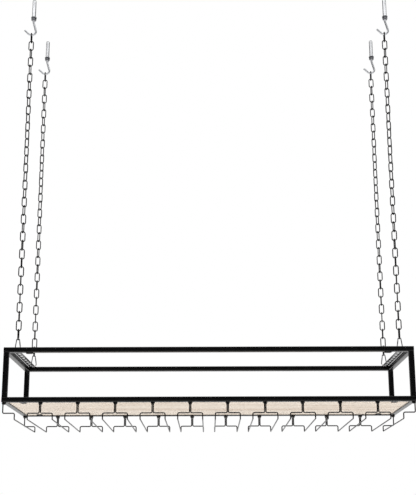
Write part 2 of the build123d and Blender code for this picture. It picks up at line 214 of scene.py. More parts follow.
def block(size, corner, edge, steps=4):
    """A block about the origin, its upright corners and its top and bottom edges rounded.

    At the angle a of an edge's quarter circle the outline is drawn in by edge * (1 - cos(a)), at the level
    height / 2 - edge * (1 - sin(a)).
    """
    width, depth, height = size
    a = np.linspace(0, pi / 2, steps)
    insets = np.concatenate([edge * (1 - np.cos(a[::-1])), edge * (1 - np.cos(a))])
    rise = height / 2 - edge * (1 - np.sin(a))
    levels = np.concatenate([-rise[::-1], rise])
    return stacked([rounded_rectangle(width - 2 * i, depth - 2 * i, corner - i) for i in insets], levels)


def box_block(low, high, corner, edge):
    """A rounded block that fills a box."""
    points, faces = block(high - low, corner, edge)
    return points + (low + high) / 2, faces


def placed(skin, origin, x_dir, y_dir, z_dir):
    """The skin with its own axes laid along three directions, from an origin."""
    points, faces = skin
    return outward(points @ np.array([x_dir, y_dir, z_dir], float) + origin, faces)


def repeated(skin, places, turns=0.0):
    """Copies of a skin, each turned about Z by its own angle and moved to its own place."""
    points, faces = skin
    places = np.atleast_2d(places)
    turns = np.broadcast_to(turns, len(places))[:, None]
    x = points[:, 0] * np.cos(turns) - points[:, 1] * np.sin(turns) + places[:, :1]
    y = points[:, 0] * np.sin(turns) + points[:, 1] * np.cos(turns) + places[:, 1:2]
    copies = np.stack([x, y, points[:, 2] + places[:, 2:]], -1).reshape(-1, 3)
    first = len(points) * np.arange(len(places))[:, None, None]
    return copies, [(rows + first).reshape(-1, rows.shape[1]) for rows in faces]


def plate(outline_points, cells, low_z, high_z):
    """A flat plate from four-sided cells in plan.

    Points that fall together are welded, the cells make the top, their reverse the bottom, and a cell's
    edge whose reverse belongs to no other cell gets a wall.
    """
    flat, index = np.unique(np.round(outline_points, 7), axis=0, return_inverse=True)
    cells = index.ravel()[cells]
    edges = np.stack([cells, np.roll(cells, -1, 1)], -1).reshape(-1, 2)
    codes, back = edges[:, 0] * len(flat) + edges[:, 1], edges[:, 1] * len(flat) + edges[:, 0]
    a, b = edges[~np.isin(codes, back)].T
    walls = np.stack([b, a, a + len(flat), b + len(flat)], -1)
    top = np.column_stack([flat, np.full(len(flat), high_z)])
    bottom = np.column_stack([flat, np.full(len(flat), low_z)])
    return outward(np.vstack([top, bottom]), [cells, cells[:, ::-1] + len(flat), walls])


def new_piece(name, skins, finish, body, nodes=(), sharp=35):
    """Makes one mesh of the skins, smooth but for edges over the sharp angle, in the place of its nodes."""
    counts = np.cumsum([0] + [len(points) for points, _ in skins])
    rows = [row + first for (_, faces), first in zip(skins, counts) for row in faces]
    corners = np.concatenate([row.ravel() for row in rows])
    sizes = np.concatenate([np.full(len(row), row.shape[1]) for row in rows])
    mesh = bpy.data.meshes.new(name)
    mesh.vertices.add(counts[-1])
    mesh.vertices.foreach_set("co", np.vstack([points for points, _ in skins]).ravel())
    mesh.loops.add(len(corners))
    mesh.loops.foreach_set("vertex_index", corners)
    mesh.polygons.add(len(sizes))
    mesh.polygons.foreach_set("loop_start", np.cumsum(sizes) - sizes)
    mesh.update(calc_edges=True)
    if mesh.validate():
        raise RuntimeError(f"the mesh of {name} isn't sound")
    mesh.shade_smooth()
    mesh.set_sharp_from_angle(angle=radians(sharp))
    mesh.materials.append(finish)
    piece = bpy.data.objects.new(name, mesh)
    bpy.context.scene.collection.objects.link(piece)
    if nodes:
        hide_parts(*nodes)
    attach(piece, body)
    return piece


def span(node):
    """The lowest and the highest corner of a solid."""
    low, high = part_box(node)
    return np.array(low), np.array(high)


def middle(node):
    """The middle of a solid's box."""
    low, high = span(node)
    return (low + high) / 2


def half_height(node):
    """Half the height of a solid's box."""
    low, high = span(node)
    return (high[2] - low[2]) / 2


# Finishes

def add_node(tree, kind, inputs=(), **settings):
    """Adds a node with its settings, and its inputs linked to a socket or set to a value."""
    node = tree.nodes.new(kind)
    for name, value in settings.items():
        setattr(node, name, value)
    for name, value in dict(inputs).items():
        if isinstance(value, bpy.types.NodeSocket):
            tree.links.new(value, node.inputs[name])
        else:
            node.inputs[name].default_value = value
    return node


def shades(tree, factor, *stops):
    """A colour ramp over (position, colour) stops."""
    ramp = add_node(tree, "ShaderNodeValToRGB", {"Fac": factor})
    elements = ramp.color_ramp.elements
    for element, (position, colour) in zip([elements[0], elements[1]], (stops[0], stops[-1])):
        element.position, element.color = position, (*colour, 1)
    for position, colour in stops[1:-1]:
        elements.new(position).color = (*colour, 1)
    return ramp.outputs["Color"]


def noise(tree, scale, detail=2.0, stretch=(1, 1, 1), roughness=0.5):
    """Noise over the piece, with its cells stretched along each axis."""
    coordinates = add_node(tree, "ShaderNodeTexCoord").outputs["Object"]
    mapping = add_node(tree, "ShaderNodeMapping", {"Vector": coordinates, "Scale": stretch})
    stretched = mapping.outputs["Vector"]
    inputs = {"Vector": stretched, "Scale": scale, "Detail": detail, "Roughness": roughness}
    return add_node(tree, "ShaderNodeTexNoise", inputs).outputs["Fac"]


def ranged(tree, factor, low, high):
    """A factor from 0 to 1 laid between two values."""
    inputs = {"Value": factor, "To Min": low, "To Max": high}
    return add_node(tree, "ShaderNodeMapRange", inputs).outputs["Result"]


def eased(tree, value, start, full):
    """A value as a share that eases from 0 at the start to 1 at the full one."""
    inputs = {"Value": value, "From Min": start, "From Max": full}
    return add_node(tree, "ShaderNodeMapRange", inputs, interpolation_type="SMOOTHSTEP").outputs["Result"]


def raised(tree, height, distance, strength=1.0):
    """A bump normal from a height."""
    inputs = {"Height": height, "Distance": distance, "Strength": strength}
    return add_node(tree, "ShaderNodeBump", inputs).outputs["Normal"]


def blank_finish(name, **sockets):
    """A new material with one shader, whose sockets are set by name, and its node tree.

    The prefix keeps its name apart from the slots' names, which have plain materials of their own.
    """
    material = bpy.data.materials.new(f"rack_{name}")
    material.use_nodes = True
    tree = material.node_tree
    tree.nodes.clear()
    shader = add_node(tree, "ShaderNodeBsdfPrincipled")
    for socket, value in sockets.items():
        shader.inputs[socket.replace("_", " ").title().replace("Ior", "IOR")].default_value = value
    add_node(tree, "ShaderNodeOutputMaterial", {"Surface": shader.outputs["BSDF"]})
    return material, tree, shader


def feed(tree, shader, **sockets):
    """Links sockets of the shader, named in words joined by an underscore."""
    for socket, value in sockets.items():
        tree.links.new(value, shader.inputs[socket.replace("_", " ").title()])


def tone(colour, factor):
    """A colour made lighter or darker."""
    return tuple(min(1.0, channel * factor) for channel in colour)


def black_powder_coat(colours):
    """Satin black powder on the tubes and plates: a fine orange peel, with gloss that drifts a little."""
    material, tree, shader = blank_finish("black_powder_coat", ior=1.46)
    patches = noise(tree, 30, 3)
    peel = noise(tree, 1500, 2)
    base = colours.powder_coat
    feed(
        tree,
        shader,
        base_color=shades(tree, patches, (0.3, tone(base, 0.85)), (0.7, tone(base, 1.2))),
        roughness=ranged(tree, patches, 0.17, 0.25),
        normal=raised(tree, peel, 0.00001, 0.5),
    )
    return material


def matt_black_coat(colours):
    """The same black on the shelf tabs, matt and a little rough over the welds' spatter."""
    material, tree, shader = blank_finish("matt_black_coat", ior=1.3, specular_ior_level=0.15)
    spatter = noise(tree, 900, 3)
    base = colours.powder_coat
    feed(
        tree,
        shader,
        base_color=shades(tree, spatter, (0.3, tone(base, 0.9)), (0.7, tone(base, 1.3))),
        roughness=ranged(tree, spatter, 0.7, 0.85),
        normal=raised(tree, spatter, 0.00005, 0.6),
    )
    return material


def black_wire(colours):
    """Black dipped wire, a little glossier than the tubes."""
    material, tree, shader = blank_finish("black_wire", ior=1.42)
    patches = noise(tree, 60, 3)
    base = colours.hanger_wire
    feed(
        tree,
        shader,
        base_color=shades(tree, patches, (0.3, tone(base, 0.8)), (0.7, tone(base, 1.25))),
        roughness=ranged(tree, patches, 0.16, 0.24),
        normal=raised(tree, noise(tree, 900, 2), 0.00002, 0.3),
    )
    return material


def black_chain(colours):
    """Blackened chain: satin, mottled, and rubbed lighter in small patches."""
    material, tree, shader = blank_finish("black_chain", metallic=0.1, ior=1.3)
    mottle = noise(tree, 260, 4, roughness=0.65)
    base = colours.chain
    feed(
        tree,
        shader,
        base_color=shades(tree, mottle, (0.3, tone(base, 0.75)), (0.62, base), (0.8, tone(base, 2.4))),
        roughness=ranged(tree, mottle, 0.18, 0.3),
        normal=raised(tree, noise(tree, 1000, 2), 0.00002, 0.4),
    )
    return material


def black_screws(colours):
    """Blackened screws, a little browner and duller than the powder coat."""
    material, tree, shader = blank_finish("black_screws", metallic=0.5, ior=1.5)
    mottle = noise(tree, 700, 3)
    base = colours.screws
    feed(
        tree,
        shader,
        base_color=shades(tree, mottle, (0.3, tone(base, 0.8)), (0.7, tone(base, 1.4))),
        roughness=ranged(tree, mottle, 0.35, 0.5),
    )
    return material


def black_plastic(colours):
    """Matt moulded plastic with a fine spark texture."""
    material, tree, shader = blank_finish("black_plastic", ior=1.46)
    grain = noise(tree, 1800, 3)
    base = colours.plastic
    feed(
        tree,
        shader,
        base_color=shades(tree, grain, (0.3, tone(base, 0.85)), (0.7, tone(base, 1.2))),
        roughness=ranged(tree, grain, 0.5, 0.65),
        normal=raised(tree, grain, 0.00005, 0.6),
    )
    return material


def plating(name, base, smooth, rough):
    """Zinc plating in a grey of its own: metal with faint clouds and fine lines across the axis."""
    material, tree, shader = blank_finish(name, metallic=1.0)
    clouds = noise(tree, 160, 4, roughness=0.6)
    lines = noise(tree, 120, 2, stretch=(1, 1, 18))
    feed(
        tree,
        shader,
        base_color=shades(tree, clouds, (0.3, tone(base, 0.86)), (0.7, tone(base, 1.08))),
        roughness=ranged(tree, clouds, smooth, rough),
        normal=raised(tree, lines, 0.00002, 0.15),
    )
    return material


def sleeve_zinc(colours):
    """Bright plating on the anchors' sleeves."""
    return plating("sleeve_zinc", colours.sleeve_zinc, 0.12, 0.22)


def hook_zinc(colours):
    """Greyer and duller plating on the ceiling hooks."""
    return plating("hook_zinc", colours.hook_zinc, 0.32, 0.42)


def nut_zinc(colours):
    """Dull plating on the nuts, washers and cones, its colour much darker than on the sleeves and the
    hooks.
    """
    return plating("nut_zinc", colours.nut_zinc, 0.3, 0.45)


def screw_zinc(colours):
    """Dark plating on the shelf board's screws."""
    return plating("screw_zinc", colours.screw_zinc, 0.35, 0.5)


def polished_steel(colours):
    """Polished spring wire, with fine drawing marks."""
    material, tree, shader = blank_finish("polished_steel", metallic=1.0)
    marks = noise(tree, 500, 3)
    base = colours.steel
    feed(
        tree,
        shader,
        base_color=shades(tree, marks, (0.3, tone(base, 0.88)), (0.7, tone(base, 1.05))),
        roughness=ranged(tree, marks, 0.14, 0.26),
    )
    return material


def pale_wood(colours):
    """Clear-varnished pale wood: broad bands, fine grain lines and short pores, all along the board."""
    material, tree, shader = blank_finish("pale_wood", ior=1.45)
    bands = noise(tree, 20, 3, stretch=(0.06, 1, 1), roughness=0.55)
    grain = noise(tree, 160, 5, stretch=(0.03, 1, 1), roughness=0.6)
    pores = noise(tree, 520, 2, stretch=(0.06, 1, 1))
    light, dark = colours.wood_light, colours.wood_dark
    mixed = add_node(tree, "ShaderNodeMix", {"Factor": 0.45, "A": bands, "B": grain}).outputs["Result"]
    ground = shades(tree, mixed, (0.36, dark), (0.5, tone(light, 0.97)), (0.64, light))
    pore_shade = shades(tree, pores, (0.3, tone(dark, 0.78)), (0.38, (1, 1, 1)))
    blend = {"data_type": "RGBA", "blend_type": "MULTIPLY"}
    colour = add_node(tree, "ShaderNodeMix", {0: 0.5, 6: ground, 7: pore_shade}, **blend)
    feed(
        tree,
        shader,
        base_color=colour.outputs[2],
        roughness=ranged(tree, grain, 0.42, 0.58),
        normal=raised(tree, grain, 0.0001, 0.35),
    )
    return material


def finish(draw, colours):
    """The material that a function draws, drawn once and then kept under the function's name."""
    return bpy.data.materials.get(f"rack_{draw.__name__}") or draw(colours)


# Sizes and colours

def length(name, description, default):
    """A length in metres that can be changed in the sidebar."""
    return FloatProperty(
        name=name, description=description, default=default, min=0.0, precision=5, unit="LENGTH"
    )


def colour(name, description, default):
    """A colour that can be changed in the sidebar."""
    return FloatVectorProperty(
        name=name, description=description, default=default, min=0.0, max=1.0, subtype="COLOR", size=3
    )


def share(name, description, default):
    """A share from 0 to 1 that can be changed in the sidebar."""
    return FloatProperty(name=name, description=description, default=default, min=0.0, max=1.0)


class RackSizes(bpy.types.PropertyGroup):
    """Sizes of the rack's pieces that the solids' boxes don't give."""

    tube_corner: length("Tube corner", "Radius of the square tubes' long edges", 0.0016)
    slot_length: length("Slot length", "Length of a slot in the strips", 0.020)
    slot_width: length("Slot width", "Width of a slot in the strips", 0.009)
    slot_pitch: length("Slot pitch", "Distance from one slot to the next", 0.032)
    slot_corner: length("Slot corner", "Radius of a slot's corners", 0.003)
    slot_count: IntProperty(name="Slots", description="Number of slots in each strip", default=9, min=1)
    plate_edge: length("Plate edge", "Rounding of the powder coat over a plate's edges", 0.0003)
    board_edge: length("Board edge", "Rounding of the shelf board's edges", 0.0011)
    tab_width: length("Tab width", "Width of a shelf tab along the rack", 0.017)
    tab_depth: length("Tab depth", "Depth of a shelf tab across the rack", 0.025)
    tab_corner: length("Tab corner", "Radius of a shelf tab's corners", 0.0008)
    cap_inset: length("Cap inset", "From the end of the caps' solids to the middle of a cap", 0.012)
    cap_length: length("Cap length", "Length of an oblong cap's head", 0.0215)
    cap_width: length("Cap width", "Width of an oblong cap's head", 0.012)
    cap_height: length("Cap height", "Height of an oblong cap's head", 0.0036)
    cap_stem_length: length("Cap stem length", "Length of the stem pushed into the tube", 0.014)
    cap_stem_width: length("Cap stem width", "Width of the stem pushed into the tube", 0.006)
    cap_stem_corner: length("Cap stem corner", "Radius of the stem's corners", 0.0015)
    cap_end_flat: length("Cap end flat", "Flat left at each rounded end of a cap's head", 0.0004)
    hanger_wire: length("Hanger wire", "Thickness of the hangers' wire", 0.0036)
    hanger_drop: length("Hanger drop", "From the frame down to the hangers' plateau", 0.032)
    eye_radius: length("Eye radius", "Radius of the wire's bend round a screw", 0.0047)
    eye_setback: length("Eye setback", "From the stems back to the screw's axis", 0.0067)
    eye_flare: length("Eye flare", "Height over which the two stems come together", 0.0055)
    eye_bend: length("Eye bend", "Radius where the side of an eye turns down", 0.0024)
    flare_bend: length("Flare bend", "Radius where the two stems have come together", 0.004)
    stem_bend: length("Stem bend", "Radius at the foot of a stem", 0.0035)
    plateau_bend: length("Plateau bend", "Radius at the outer end of a hanger's plateau", 0.0045)
    rail_bend: length("Rail bend", "Radius where a wire turns to run along the glasses' way in", 0.003)
    stem_gap: length("Stem gap", "Gap between the two stems of a hanger", 0.0002)
    screw_head: length("Screw head", "Radius of a hanger screw's head", 0.0046)
    screw_head_height: length("Screw head height", "Height of a hanger screw's head", 0.0028)
    screw_shank: length("Screw shank", "Radius of a hanger screw's shank", 0.0024)
    screw_reach: length("Screw reach", "Length of a hanger screw's shank", 0.004)
    shelf_screw_head: length("Shelf screw head", "Radius of a shelf screw's head", 0.004)
    shelf_screw_head_height: length("Shelf screw head height", "Height of a shelf screw's head", 0.0022)
    shelf_screw_shank: length("Shelf screw shank", "Radius of a shelf screw's shank", 0.002)
    shelf_screw_reach: length("Shelf screw reach", "Length of a shelf screw's shank", 0.008)
    link_wire: length("Link wire", "Thickness of the chains' wire", 0.0033)
    link_inner: length("Link inner length", "Length of the opening in a link", 0.02817)
    link_width: length("Link width", "Width of a link over its wire", 0.0174)
    link_corner: length("Link corner", "Radius of a link's bends, at the middle of its wire", 0.0061)
    link_count: IntProperty(
        name="Links", description="Links of a chain, without the top one", default=35, min=2
    )
    snap_wire: length("Snap hook wire", "Thickness of the snap hooks' wire", 0.003)
    snap_inner: length("Snap hook opening", "Height of a snap hook's opening", 0.034)
    bow_half: length("Bow half width", "From a snap hook's middle to its sides, at the bow", 0.008)
    eye_half: length("Eye half width", "From a snap hook's middle to its sides, at the eye", 0.004)
    bow_rise: length("Bow rise", "Height at which the bow has its full width", 0.008)
    eye_fall: length("Eye fall", "Depth below the top at which the eye has its full width", 0.0026)
    gate_start: length("Gate start", "From the foot of the gate's side to the wire's lower end", 0.0025)
    gate_end: length("Gate end", "From the foot of the gate's side to the wire's upper end", 0.0223)
    gate_width: length("Gate width", "Width of a gate in the hook's plane", 0.0028)
    gate_thickness: length("Gate thickness", "Thickness of a gate across the hook", 0.0032)
    gate_web: length("Gate web", "Thickness of the web behind the catch", 0.0006)
    tongue: length("Tongue", "Thickness of the tongue and the catch on the wire's ends", 0.0012)
    catch_length: length("Catch length", "Length of the catch on the wire's lower end", 0.0032)
    tongue_length: length("Tongue length", "Length of the tongue on the wire's upper end", 0.0046)
    pin_setback: length("Pin setback", "From the wire's upper end down to the gate's pin", 0.0026)
    pin_radius: length("Pin radius", "Radius of a gate's pin", 0.0006)
    tongue_corner: length("Tongue corner", "Radius of the tongue's corners", 0.001)
    catch_corner: length("Catch corner", "Radius of the catch's corners", 0.0004)
    cheek_corner: length("Cheek corner", "Radius of the corners of a gate's cheeks", 0.00115)
    core_corner: length("Core corner", "Radius of the corners of a gate's core", 0.0003)
    web_corner: length("Web corner", "Radius of the corners of a gate's web", 0.0002)
    hook_wire: length("Hook wire", "Thickness of the ceiling hooks", 0.0065)
    hook_bend: length("Hook bend", "Radius of a ceiling hook's bend, at the middle of its wire", 0.013)
    hook_reach: length("Hook reach", "From the bolt's axis to the middle of the bend", 0.005)
    hook_tip: length("Hook tip", "Length of the straight tip", 0.019)
    neck_bend: length("Neck bend", "Radius where a ceiling hook leaves its bolt's axis", 0.004)
    bolt_radius: length("Bolt radius", "Radius of an anchor's bolt", 0.0039)
    bolt_chamfer: length("Bolt chamfer", "Height over which a bolt's tip is drawn in", 0.0006)
    shoulder_radius: length("Shoulder radius", "Radius of the shoulder under a nut", 0.0055)
    shoulder_height: length("Shoulder height", "Height of the shoulder under a nut", 0.0045)
    nut_flats: length("Nut", "Size of an anchor's nut across its flats", 0.014)
    nut_chamfer: length("Nut chamfer", "Depth over which a nut's corners are cut at each face", 0.0012)
    washer_radius: length("Washer radius", "Radius of an anchor's washer", 0.0088)
    rim_ease: length("Rim ease", "Easing of the washers' and the cones' rims", 0.0004)
    sleeve_radius: length("Sleeve radius", "Outer radius of an anchor's sleeve", 0.006)
    sleeve_bore: length("Sleeve bore", "Radius of the bore in a sleeve", 0.0045)
    sleeve_mouth: length("Sleeve mouth", "Radius of the mouth that the cone spreads", 0.0057)
    sleeve_chamfer: length("Sleeve chamfer", "Chamfer round a sleeve's lower end", 0.0003)
    sleeve_lip: length("Sleeve lip", "Draw-in of a sleeve's mouth, over twice its height", 0.0002)
    slit_width: length("Slit width", "Width of a slit in a sleeve", 0.0009)
    slit_length: length("Slit length", "Length of a slit in a sleeve", 0.026)
    cone_grip: length("Cone grip", "Depth over which a sleeve's bore opens to its mouth", 0.0035)
    cone_rim: length("Cone rim", "Height of a cone's rim above its sleeve", 0.0022)


class RackColours(bpy.types.PropertyGroup):
    """Colours of the rack's finishes."""

    powder_coat: colour("Powder coat", "Black of the tubes, strips and tabs", (0.0018, 0.0018, 0.0020))
    hanger_wire: colour("Hanger wire", "Black of the glass hangers", (0.0022, 0.0022, 0.0024))
    chain: colour("Chain", "Black of the chains", (0.006, 0.006, 0.0064))
    screws: colour("Screws", "Black of the hangers' screws", (0.02, 0.019, 0.018))
    plastic: colour("Plastic", "Black of the oblong caps", (0.010, 0.010, 0.010))
    sleeve_zinc: colour("Sleeve zinc", "Plating of the anchors' sleeves", (0.85, 0.86, 0.88))
    hook_zinc: colour("Hook zinc", "Plating of the ceiling hooks", (0.64, 0.65, 0.67))
    nut_zinc: colour("Nut zinc", "Plating of the anchors' nuts, washers and cones", (0.22, 0.225, 0.24))
    screw_zinc: colour("Screw zinc", "Plating of the shelf board's screws", (0.08, 0.082, 0.088))
    steel: colour("Steel", "Steel of the snap hooks", (0.50, 0.50, 0.52))
    wood_light: colour("Light wood", "Light parts of the shelf board's grain", (0.83, 0.725, 0.61))
    wood_dark: colour("Dark wood", "Dark parts of the shelf board's grain", (0.64, 0.50, 0.38))


class RackStage(bpy.types.PropertyGroup):
    """The floor and the light round the rack."""

    floor_drop: length("Floor drop", "From the rack's lowest point down to the floor", 2.8)
    floor_size: length("Floor size", "Side of the square floor", 16.0)
    floor_shade: share("Floor shade", "Paleness of the floor", 0.93)
    sky: FloatProperty(
        name="Sky", description="Strength of the white light from above", default=1.6, min=0.0
    )
    ground: share("Ground", "Strength of the light from below the horizon, past the floor's edge", 1.0)
    rear_shade: share("Rear shade", "Share of the sky's light low down behind and beside the rack", 0.12)
    front_shade: share("Front shade", "Share of the sky's light low down on the camera's side", 0.015)
    lamp_size: length("Lamp size", "Side of the square lamp overhead", 24.0)
    lamp_height: length("Lamp height", "Height of the lamp above the ceiling hooks", 8.0)
    lamp_power: FloatProperty(
        name="Lamp", description="Power of the lamp overhead", default=1300.0, min=0.0, unit="POWER"
    )


# Tube frame

def rail_skin(node, along, inward, corner):
    """A rail of square tube, its ends cut at 45 degrees.

    The section is a rounded square in the depth u from the rail's middle and the height v, and each end
    stops at half the length less u less half the tube, so that the outer face is the longest.
    """
    low, high = span(node)
    centre, size = (low + high) / 2, high[2] - low[2]
    outline = rounded_rectangle(size, size, corner)
    half = (high[along] - low[along]) / 2 - outline[:, 0] - size / 2
    rings = np.empty((2, len(outline), 3))
    rings[..., along] = centre[along] + np.outer([-1, 1], half)
    rings[..., 1 - along] = centre[1 - along] + inward * outline[:, 0]
    rings[..., 2] = centre[2] + outline[:, 1]
    return tube_of(rings)


def post_skin(node, corner):
    """An upright of square tube between the rails."""
    low, high = span(node)
    outline = rounded_rectangle(*(high - low)[:2], corner) + ((low + high) / 2)[:2]
    return stacked([outline, outline], (low[2], high[2]))


class RACK_OT_tube_frame(bpy.types.Operator):
    """Makes the mitred rails and the posts of the tube frame"""

    bl_idname = "rack.tube_frame"
    bl_label = "Tube Frame"

    def execute(self, context):
        corner = context.scene.rack_sizes.tube_corner
        coat = finish(black_powder_coat, context.scene.rack_colours)
        for level in ("top", "bottom"):
            for along, walls in ((0, ENDS), (1, SIDES)):
                for wall, sign in walls.items():
                    node = f"{level}_{wall}_rail"
                    skin = rail_skin(node, along, -sign, corner)
                    new_piece(f"{level}_{wall}_tube", [skin], coat, "rack", [node])
        for name, _, _ in CORNERS:
            skin = post_skin(f"{name}_post", corner)
            new_piece(f"{name}_upright", [skin], coat, "rack", [f"{name}_post"])
        return {"FINISHED"}


# Strips, tabs and caps

def slot_cell(width, depth, slot_width, slot_length, corner, steps=5):
    """The ring of metal between a slot and its cell of the strip, as points in plan and four-sided faces.

    The inner outline is the slot. The outer outline runs with it: over the first half of each corner's
    quarter arc it goes up the cell's side to the cell's corner, and over the second half along the
    cell's end. The third result is the outer outline's x over one quarter.
    """
    inner = rounded_rectangle(slot_width, slot_length, corner, steps)
    along = np.linspace(0, 1, steps)
    flat_x, flat_y = slot_width / 2 - corner, slot_length / 2 - corner
    x = np.interp(along, [0, 0.5, 1], [width / 2, width / 2, flat_x])
    y = np.interp(along, [0, 0.5, 1], [flat_y, depth / 2, depth / 2])
    quarters = [(x, y), (-x[::-1], y[::-1]), (-x, -y), (x[::-1], -y[::-1])]
    outer = np.concatenate([np.stack(quarter, 1) for quarter in quarters])
    at = np.arange(len(inner))
    faces = np.stack([at, np.roll(at, -1), np.roll(at, -1) + len(inner), at + len(inner)], 1)
    return np.vstack([inner, outer]), faces, x


def strip_skin(node, sizes):
    """A flat strip with a row of slots: a cell for each slot, and a plain margin at each end."""
    low, high = span(node)
    width, depth = (high - low)[:2]
    cell, faces, x = slot_cell(
        width, sizes.slot_pitch, sizes.slot_width, sizes.slot_length, sizes.slot_corner
    )
    rows = (np.arange(sizes.slot_count) - (sizes.slot_count - 1) / 2) * sizes.slot_pitch
    points = (cell + np.stack([0 * rows, rows], 1)[:, None]).reshape(-1, 2)
    cells = (faces + len(cell) * np.arange(sizes.slot_count)[:, None, None]).reshape(-1, 4)
    across = np.unique(np.round(np.concatenate([x, -x]), 9))
    for sign in (-1, 1):
        near, far = sign * sizes.slot_count * sizes.slot_pitch / 2, sign * depth / 2
        at = len(points) + np.arange(len(across))
        margin = np.stack([at[:-1], at[1:], at[1:] + len(across), at[:-1] + len(across)], 1)
        points = np.vstack([points, *[np.stack([across, 0 * across + y], 1) for y in (near, far)]])
        cells = np.vstack([cells, margin if sign < 0 else margin[:, ::-1]])
    centre = (low + high)[:2] / 2
    return plate(points + centre, cells, low[2], high[2])


def soften(piece, width):
    """Rounds a piece's edges with a bevel of two steps."""
    bevel = piece.modifiers.new("coated edges", "BEVEL")
    bevel.width, bevel.segments, bevel.limit_method = width, 2, "ANGLE"
    bevel.angle_limit, bevel.harden_normals = radians(40), True


class RACK_OT_slotted_strips(bpy.types.Operator):
    """Makes the two slotted strips that the snap hooks hang in"""

    bl_idname = "rack.slotted_strips"
    bl_label = "Slotted Strips"

    def execute(self, context):
        sizes = context.scene.rack_sizes
        coat = finish(black_powder_coat, context.scene.rack_colours)
        for side in SIDES:
            node = f"{side}_slotted_strip"
            skin = strip_skin(node, sizes)
            strip = new_piece(f"{side}_strip", [skin], coat, "rack", [node])
            soften(strip, sizes.plate_edge)
        return {"FINISHED"}


def tab_places(sizes):
    """The middles of the four tabs, which fill the corners of their solids' box."""
    low, high = span("shelf_tabs")
    reach = (high - low - [sizes.tab_width, sizes.tab_depth, high[2] - low[2]]) / 2
    return (low + high) / 2 + reach * [[i, j, 0] for i in (-1, 1) for j in (-1, 1)]


class RACK_OT_shelf_tabs(bpy.types.Operator):
    """Makes the four welded tabs under the shelf board"""

    bl_idname = "rack.shelf_tabs"
    bl_label = "Shelf Tabs"

    def execute(self, context):
        sizes = context.scene.rack_sizes
        size = (sizes.tab_width, sizes.tab_depth, 2 * half_height("shelf_tabs"))
        skin = repeated(block(size, sizes.tab_corner, sizes.plate_edge), tab_places(sizes))
        coat = finish(matt_black_coat, context.scene.rack_colours)
        new_piece("board_tabs", [skin], coat, "rack", ["shelf_tabs"])
        return {"FINISHED"}


def cap_skin(sizes, stem_height):
    """An oblong cap about the middle of its head's top: a plain stem above, and a head with a domed edge.

    With e as 0.6 of the head's height, its outline is drawn in by e * (1 - cos(a)) at the depth
    height - e * (1 - sin(a)).
    """
    ease = sizes.cap_height * 0.6
    a = np.linspace(0, pi / 2, 6)
    insets = np.concatenate([[0.0], ease * (1 - np.cos(a))])
    levels = np.concatenate([[stem_height, 0.0, 0.0], -sizes.cap_height + ease * (1 - np.sin(a))])
    reach, width = sizes.cap_length, sizes.cap_width
    corner = (width - sizes.cap_end_flat) / 2
    stem = rounded_rectangle(sizes.cap_stem_length, sizes.cap_stem_width, sizes.cap_stem_corner, 7)
    heads = [rounded_rectangle(reach - 2 * i, width - 2 * i, corner - i, 7) for i in insets]
    return stacked([stem, stem] + heads, levels)


class RACK_OT_rail_caps(bpy.types.Operator):
    """Makes the oblong caps under the top front rail"""

    bl_idname = "rack.rail_caps"
    bl_label = "Rail Caps"

    def execute(self, context):
        sizes = context.scene.rack_sizes
        low, high = span("guard_rail_caps")
        y, z = (low + high)[1] / 2, span("top_front_rail")[0][2]
        places = [[low[0] + sizes.cap_inset, y, z], [high[0] - sizes.cap_inset, y, z]]
        skin = repeated(cap_skin(sizes, high[2] - z), places)
        plastic = finish(black_plastic, context.scene.rack_colours)
        new_piece("oblong_caps", [skin], plastic, "rack", ["guard_rail_caps"])
        return {"FINISHED"}


# Shelf board

class RACK_OT_shelf_board(bpy.types.Operator):
    """Makes the shelf board with its eased edges"""

    bl_idname = "rack.shelf_board"
    bl_label = "Shelf Board"

    def execute(self, context):
        edge = context.scene.rack_sizes.board_edge
        skin = box_block(*span("shelf_board"), 1.5 * edge, edge)
        wood = finish(pale_wood, context.scene.rack_colours)
        new_piece("board", [skin], wood, "rack", ["shelf_board"])
        return {"FINISHED"}


# Screws. The recesses of the screw heads point every way, turned by these angles in radians.

GOLDEN_TURN = 2.399
SHELF_SCREW_TURNS = (0.4, 1.1, 0.2, 0.8)


def cross_recess(x, y, reach, half_width):
    """The share of the recess's depth at a point: 1 in two crossed bars, falling to 0 at their edges."""
    slope = half_width * 0.6
    bars = [
        np.clip((half_width - np.abs(u)) / slope, 0, 1) * np.clip((reach - np.abs(v)) / slope, 0, 1)
        for u, v in ((x, y), (y, x))
    ]
    return np.maximum(*bars)


def screw_skin(head, head_height, shank, reach, sides=32):
    """A pan-head screw, head down, about the middle of its bearing face.

    The shank rises by the reach. The head's rim has the radius head * sqrt(1 - (depth / height) ** 3.2)
    at a depth, and a cross recess of 0.55 times the height is taken off its face. The recess reaches
    0.62 of the head's radius from the axis, in bars 0.32 of the radius wide.
    """
    depth_share = np.array([0.0, 0.3, 0.55, 0.75, 0.9, 0.97])
    rim = head * np.sqrt(1 - depth_share**3.2)
    face = rim[-1] * np.array([0.86, 0.72, 0.58, 0.46, 0.36, 0.27, 0.18, 0.09])
    face_depth = 1 - 0.03 * (face / rim[-1]) ** 2
    radii = np.concatenate([[shank * 0.7, shank, shank], rim, face])
    levels = np.concatenate([-head_height * depth_share, -head_height * face_depth])
    levels = np.concatenate([[reach, reach - 0.3 * shank, 0], levels])
    angles = round_angles(sides)
    x, y = radii[:, None] * np.cos(angles), radii[:, None] * np.sin(angles)
    z = levels[:, None] + 0 * angles
    recess = cross_recess(x, y, 0.62 * head, 0.16 * head) * 0.55 * head_height
    z[-len(face):] += recess[-len(face):]
    return tube_of(np.stack([x, y, z], -1))


